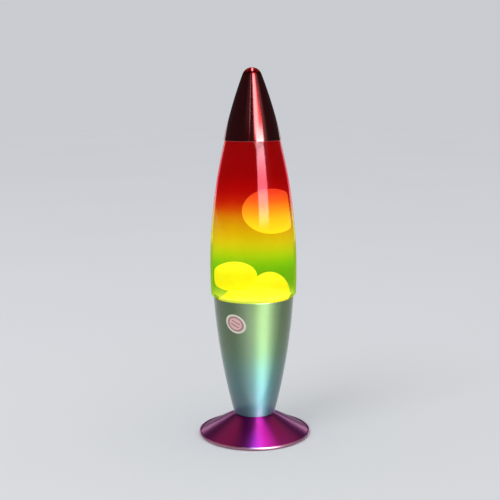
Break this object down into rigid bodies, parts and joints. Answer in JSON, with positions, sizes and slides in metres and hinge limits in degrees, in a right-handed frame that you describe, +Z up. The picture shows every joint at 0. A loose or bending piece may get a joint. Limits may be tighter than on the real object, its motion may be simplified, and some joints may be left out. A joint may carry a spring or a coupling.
{
  "type": "lava lamp",
  "caption": "Tall tapered lava lamp: flared foot, waisted metal cup, tinted glass bottle with drifting wax, and a conical metal cap.",
  "frame": {"origin": "centre of the surface that the four rubber pads stand on, on the lamp's axis", "axes": "+Z up along the lamp's axis, -Y the front, with the lead's grommet at the back (+Y)"},
  "size_m": [0.1248, 0.1248, 0.406],
  "materials": {
    "foot_anodised": "brushed and dyed purple, anodised",
    "cup_anodised": "brushed and dyed green fading to teal, anodised",
    "cap_anodised": "brushed and dyed red, anodised",
    "plate_steel": "black powder coat",
    "zinc_steel": "zinc plated",
    "black_rubber": "matt",
    "seal_rubber": "matt",
    "label_film": "printed film",
    "holder_resin": "moulded thermoset",
    "ceramic": "glazed ceramic",
    "contact_brass": "bright",
    "solder": "solder",
    "black_glass": "vitrified insulation",
    "bulb_cap_nickel": "nickel plated",
    "bulb_glass": "clear",
    "silver_film": "aluminised film",
    "stem_glass": "clear",
    "wire_nickel": "drawn wire",
    "tungsten": "glowing wire",
    "bottle_glass": "red above, yellow and green below, in a sprayed fade",
    "clear_liquid": "clear liquid",
    "wax": "opaque wax, lit from below",
    "coil_wire": "drawn steel spring wire",
    "crown_tinplate": "lacquered tinplate",
    "liner_plastic": "foamed liner"
  },
  "bodies": {
    "base": {"foot": "foot_anodised", "lead_grommet": "black_rubber", "bottom_plate": "plate_steel", "plate_screw_left": "zinc_steel", "plate_screw_right": "zinc_steel", "base_strap": "zinc_steel", "hollow_stud": "zinc_steel", "lower_washer": "zinc_steel", "lower_nut": "zinc_steel", "upper_washer": "zinc_steel", "cup": "cup_anodised", "seat_ring": "seal_rubber", "round_label": "label_film", "holder_base": "holder_resin", "holder_sleeve": "holder_resin", "holder_insulator": "ceramic", "screw_shell": "contact_brass", "centre_contact": "contact_brass", "side_contact": "contact_brass", "terminal_screw_live": "zinc_steel", "terminal_screw_neutral": "zinc_steel", "terminal_clamp_live": "contact_brass", "terminal_clamp_neutral": "contact_brass", "rubber_foot_1": "black_rubber", "rubber_foot_2": "black_rubber", "rubber_foot_3": "black_rubber", "rubber_foot_4": "black_rubber"},
    "bulb_tip": {"bulb_tip_contact": "solder"},
    "bulb": {"bulb_insulator": "black_glass", "bulb_screw_cap": "bulb_cap_nickel", "bulb_envelope": "bulb_glass", "bulb_reflector": "silver_film", "bulb_stem": "stem_glass", "bulb_lead_wire_left": "wire_nickel", "bulb_lead_wire_right": "wire_nickel", "bulb_filament": "tungsten"},
    "bottle": {"bottle": "bottle_glass", "fluid": "clear_liquid", "wax_pool": "wax", "heat_coil": "coil_wire", "crown_cap": "crown_tinplate", "crown_liner": "liner_plastic"},
    "top_cap": {"top_cap": "cap_anodised"},
    "wax_low": {"wax_blob_low": "wax"},
    "wax_high": {"wax_blob_high": "wax"}
  },
  "joints": [
    {"name": "bulb_rise", "type": "slide", "parent": "base", "child": "bulb_tip", "axis": [0, 0, 1], "range_m": [0, 0.0086]},
    {"name": "bulb_turn", "type": "hinge", "parent": "bulb_tip", "child": "bulb", "pos_m": [0, 0, 0.0535], "axis": [0, 0, 1], "range_deg": [0, 1080]},
    {"name": "bottle_lift", "type": "slide", "parent": "base", "child": "bottle", "axis": [0, 0, 1], "range_m": [0, 0.06]},
    {"name": "cap_lift", "type": "slide", "parent": "bottle", "child": "top_cap", "axis": [0, 0, 1], "range_m": [0, 0.06]},
    {"name": "wax_low_drift", "type": "slide", "parent": "bottle", "child": "wax_low", "axis": [0, 0, 1], "range_m": [0, 0.024], "deforming": ["fluid"]},
    {"name": "wax_high_drift", "type": "slide", "parent": "bottle", "child": "wax_high", "axis": [-0.1318, 0, 0.9913], "range_m": [-0.016, 0.024], "deforming": ["fluid"]}
  ],
  "couplings": [
    {"joint": "bulb_rise", "follows": "bulb_turn", "m_per_rad": 0.00044914}
  ]
}
